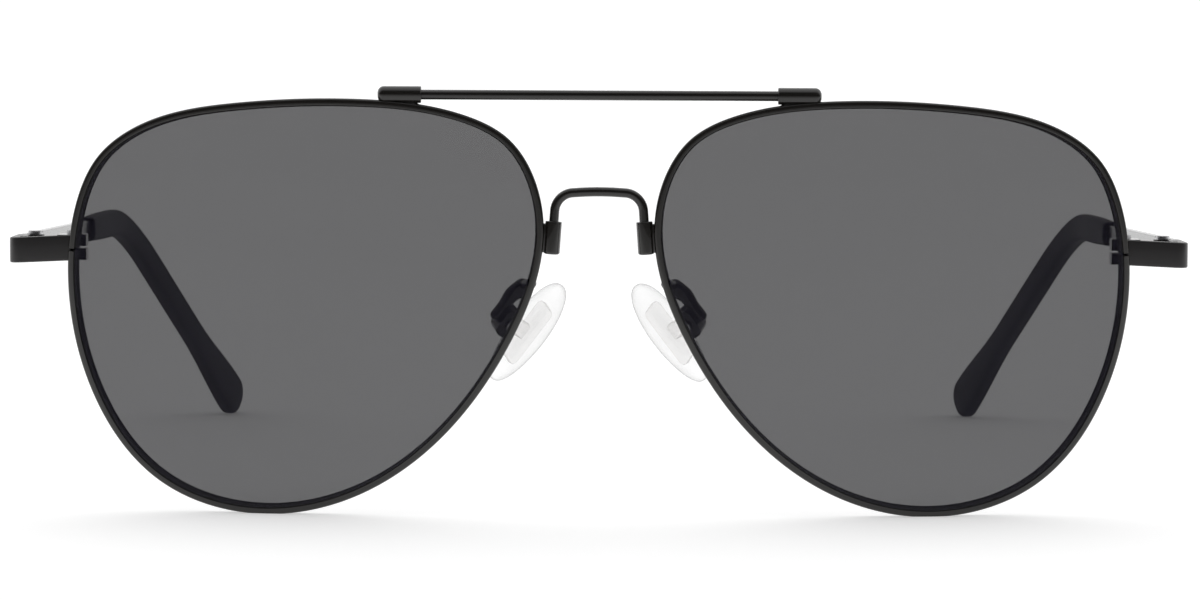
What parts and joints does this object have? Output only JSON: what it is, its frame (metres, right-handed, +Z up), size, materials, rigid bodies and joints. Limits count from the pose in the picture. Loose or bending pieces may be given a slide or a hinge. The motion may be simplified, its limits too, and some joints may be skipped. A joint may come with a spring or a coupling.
{
  "type": "aviator sunglasses",
  "caption": "Folding aviator sunglasses: tinted lenses in thin wire rims, brow bar, arched bridge, rocking nose pads and hinged temples with curved tips",
  "frame": {"origin": "middle of the bounding box in X and Y, on the surface the sunglasses stand on", "axes": "+X towards the wearer's left, lenses face -Y, temples run towards +Y, +Z up"},
  "size_m": [0.1478, 0.1362, 0.0539],
  "materials": {
    "lens_tint": "neutral grey tinted lens, polished",
    "frame_gloss_black": "gloss black coated metal",
    "frame_satin_black": "satin black coated metal",
    "temple_metal": "semi gloss black coated metal strip",
    "tip_plastic": "matt black acetate sleeve",
    "screw_steel": "dark steel screw",
    "pad_silicone": "clear soft silicone",
    "pad_core_plastic": "clear hard plastic core"
  },
  "bodies": {
    "front": {"lens_left": "lens_tint", "lens_right": "lens_tint", "rim_left": "frame_gloss_black", "rim_right": "frame_gloss_black", "rim_lock_upper_left": "frame_gloss_black", "rim_lock_upper_right": "frame_gloss_black", "rim_lock_lower_left": "frame_gloss_black", "rim_lock_lower_right": "frame_gloss_black", "rim_lock_screw_left": "screw_steel", "rim_lock_screw_right": "screw_steel", "endpiece_left": "frame_satin_black", "endpiece_right": "frame_satin_black", "hinge_front_left": "frame_satin_black", "hinge_front_right": "frame_satin_black", "hinge_screw_left": "screw_steel", "hinge_screw_right": "screw_steel", "brow_sleeve_left": "frame_gloss_black", "brow_sleeve_right": "frame_gloss_black", "bridge_sleeve_left": "frame_gloss_black", "bridge_sleeve_right": "frame_gloss_black", "pad_arm_left": "frame_gloss_black", "pad_arm_right": "frame_gloss_black", "pad_box_left": "frame_gloss_black", "pad_box_right": "frame_gloss_black", "pad_screw_left": "screw_steel", "pad_screw_right": "screw_steel", "brow_bar": "frame_gloss_black", "bridge": "frame_gloss_black"},
    "temple_arm_left": {"temple_left": "temple_metal", "temple_tip_left": "tip_plastic", "hinge_temple_left": "frame_satin_black"},
    "temple_arm_right": {"temple_right": "temple_metal", "temple_tip_right": "tip_plastic", "hinge_temple_right": "frame_satin_black"},
    "pad_left": {"nose_pad_left": "pad_silicone", "pad_core_left": "pad_core_plastic"},
    "pad_right": {"nose_pad_right": "pad_silicone", "pad_core_right": "pad_core_plastic"}
  },
  "joints": [
    {"name": "temple_fold_left", "type": "hinge", "parent": "front", "child": "temple_arm_left", "pos_m": [0.07155, -0.05349, 0.03303], "axis": [0, 0, 1], "range_deg": [0, 74]},
    {"name": "temple_fold_right", "type": "hinge", "parent": "front", "child": "temple_arm_right", "pos_m": [-0.07155, -0.05349, 0.03303], "axis": [0, 0, -1], "range_deg": [0, 82]},
    {"name": "pad_rock_left", "type": "hinge", "parent": "front", "child": "pad_left", "pos_m": [0.01126, -0.06074, 0.02435], "axis": [-0.298, -0.8762, -0.3787], "range_deg": [-8, 8]},
    {"name": "pad_rock_right", "type": "hinge", "parent": "front", "child": "pad_right", "pos_m": [-0.01126, -0.06074, 0.02435], "axis": [0.298, -0.8762, -0.3787], "range_deg": [-8, 8]}
  ]
}
